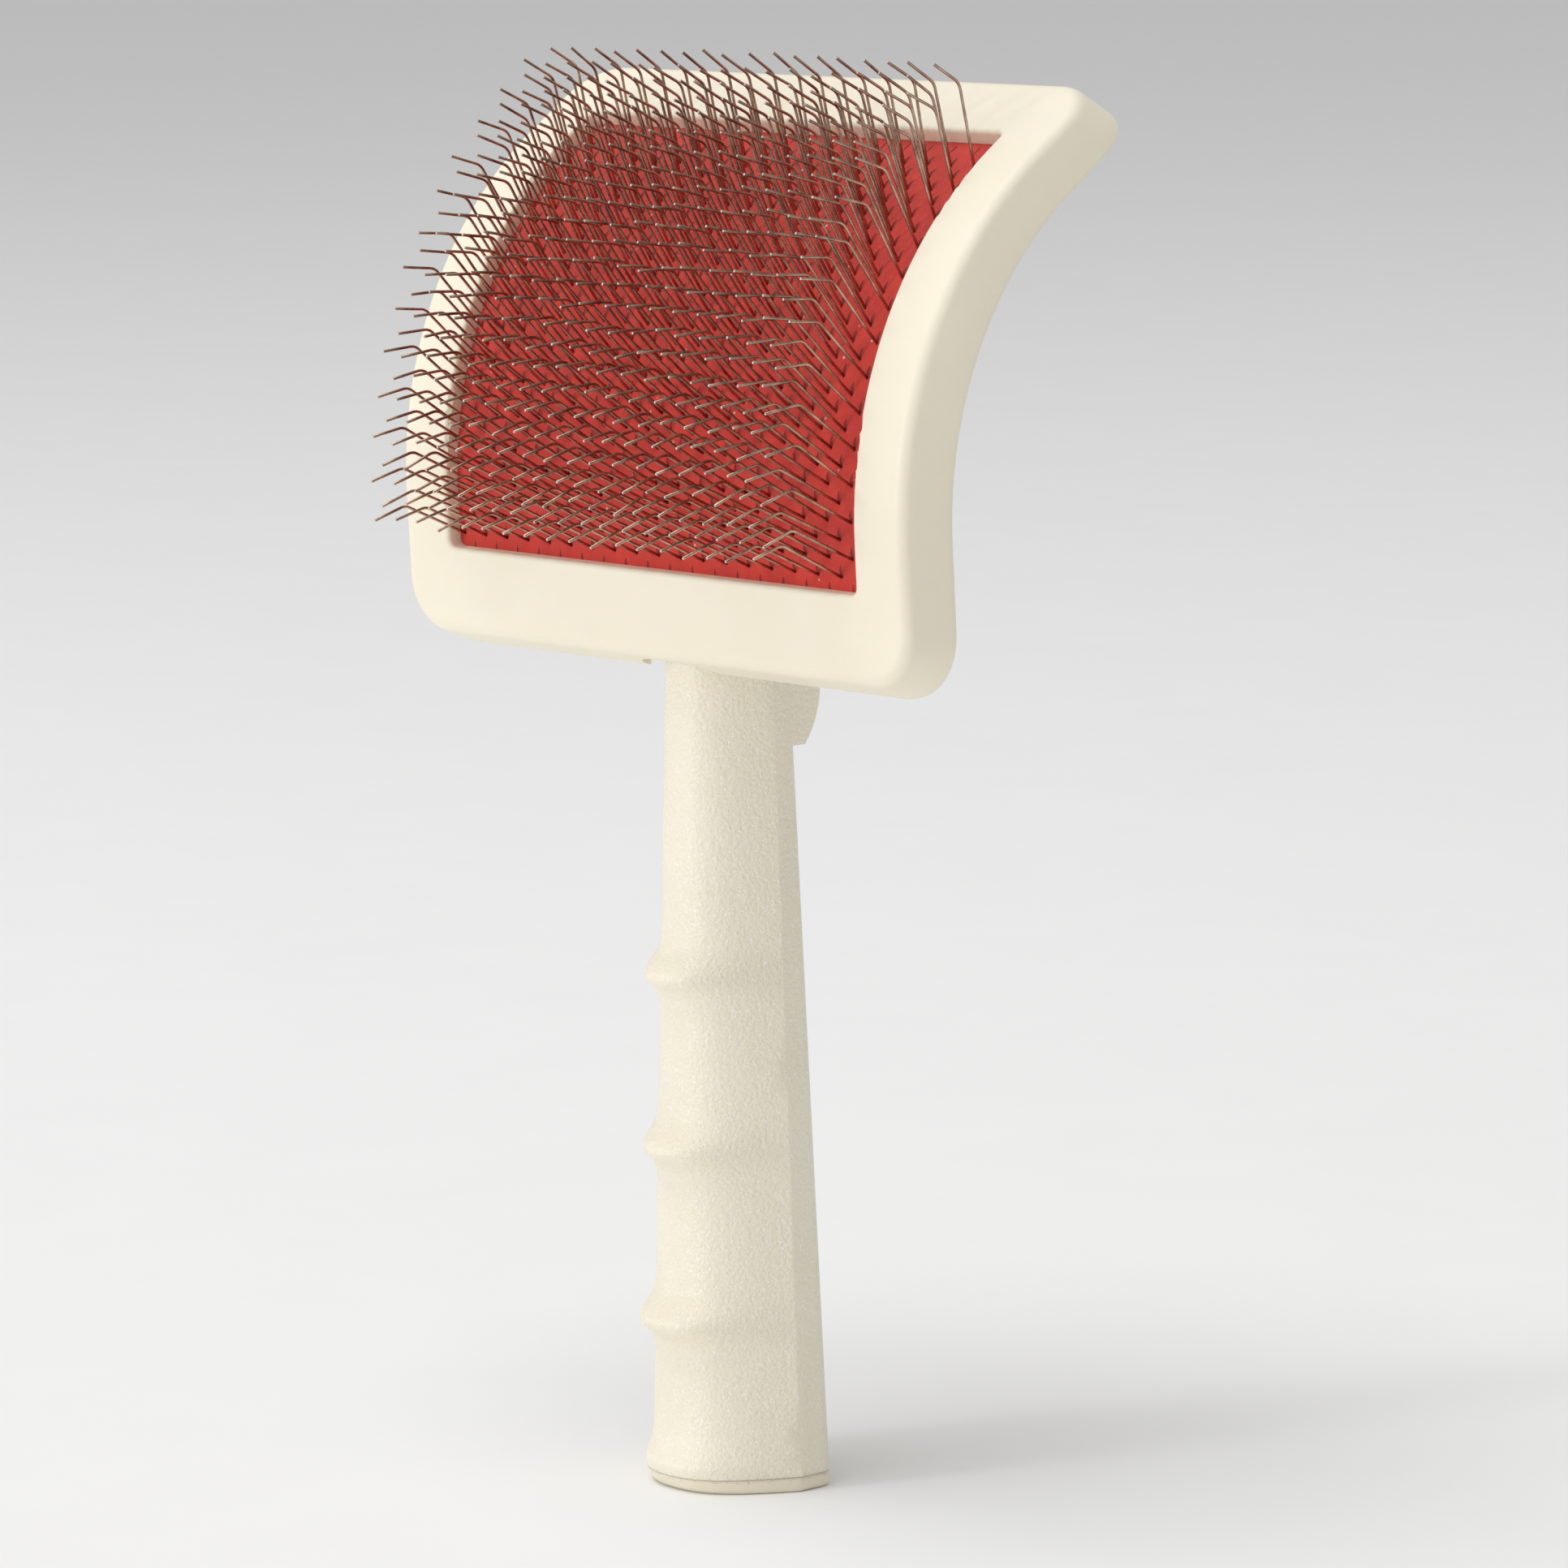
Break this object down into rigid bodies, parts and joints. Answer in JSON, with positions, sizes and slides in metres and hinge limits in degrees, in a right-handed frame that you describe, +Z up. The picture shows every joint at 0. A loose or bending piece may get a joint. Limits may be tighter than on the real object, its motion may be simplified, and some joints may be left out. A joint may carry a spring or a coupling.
{
  "type": "slicker brush",
  "caption": "Curved slicker brush: cream framed head with a red pad of staggered bent wire pins, on a straight grip with finger ridges and an end cap.",
  "frame": {"origin": "centre of the end cap's flat bottom face", "axes": "+Z up the handle to the head, -Y the pin side, +X the right-hand side seen from the pins"},
  "size_m": [0.1106, 0.0582, 0.2011],
  "materials": {
    "head_plastic": "smooth satin ivory moulding",
    "grip_plastic": "ivory moulding with a fine sparkling grain",
    "pad_red": "bright red rubber face with a fine cloth weave",
    "pad_cloth": "undyed woven foundation",
    "pad_foam": "soft cellular cushion",
    "pin_wire": "drawn spring wire, cut ends bright",
    "screw_steel": "zinc plated"
  },
  "bodies": {
    "root": {"head_frame": "head_plastic", "pad_facing": "pad_red", "pad_foundation": "pad_cloth", "pad_cushion": "pad_foam", "back_plate": "head_plastic", "handle": "grip_plastic", "end_cap": "grip_plastic", "plate_screws": "screw_steel", "handle_screws": "screw_steel", "staple_row_01": "pin_wire", "staple_row_02": "pin_wire", "staple_row_03": "pin_wire", "staple_row_04": "pin_wire", "staple_row_05": "pin_wire", "staple_row_06": "pin_wire", "staple_row_07": "pin_wire", "staple_row_08": "pin_wire", "staple_row_09": "pin_wire", "staple_row_10": "pin_wire", "staple_row_11": "pin_wire", "staple_row_12": "pin_wire", "staple_row_13": "pin_wire", "staple_row_14": "pin_wire", "staple_row_15": "pin_wire", "staple_row_16": "pin_wire", "staple_row_17": "pin_wire", "staple_row_18": "pin_wire", "staple_row_19": "pin_wire", "staple_row_20": "pin_wire", "staple_row_21": "pin_wire", "staple_row_22": "pin_wire", "staple_row_23": "pin_wire", "staple_row_24": "pin_wire", "staple_row_25": "pin_wire", "staple_row_26": "pin_wire"}
  },
  "joints": []
}
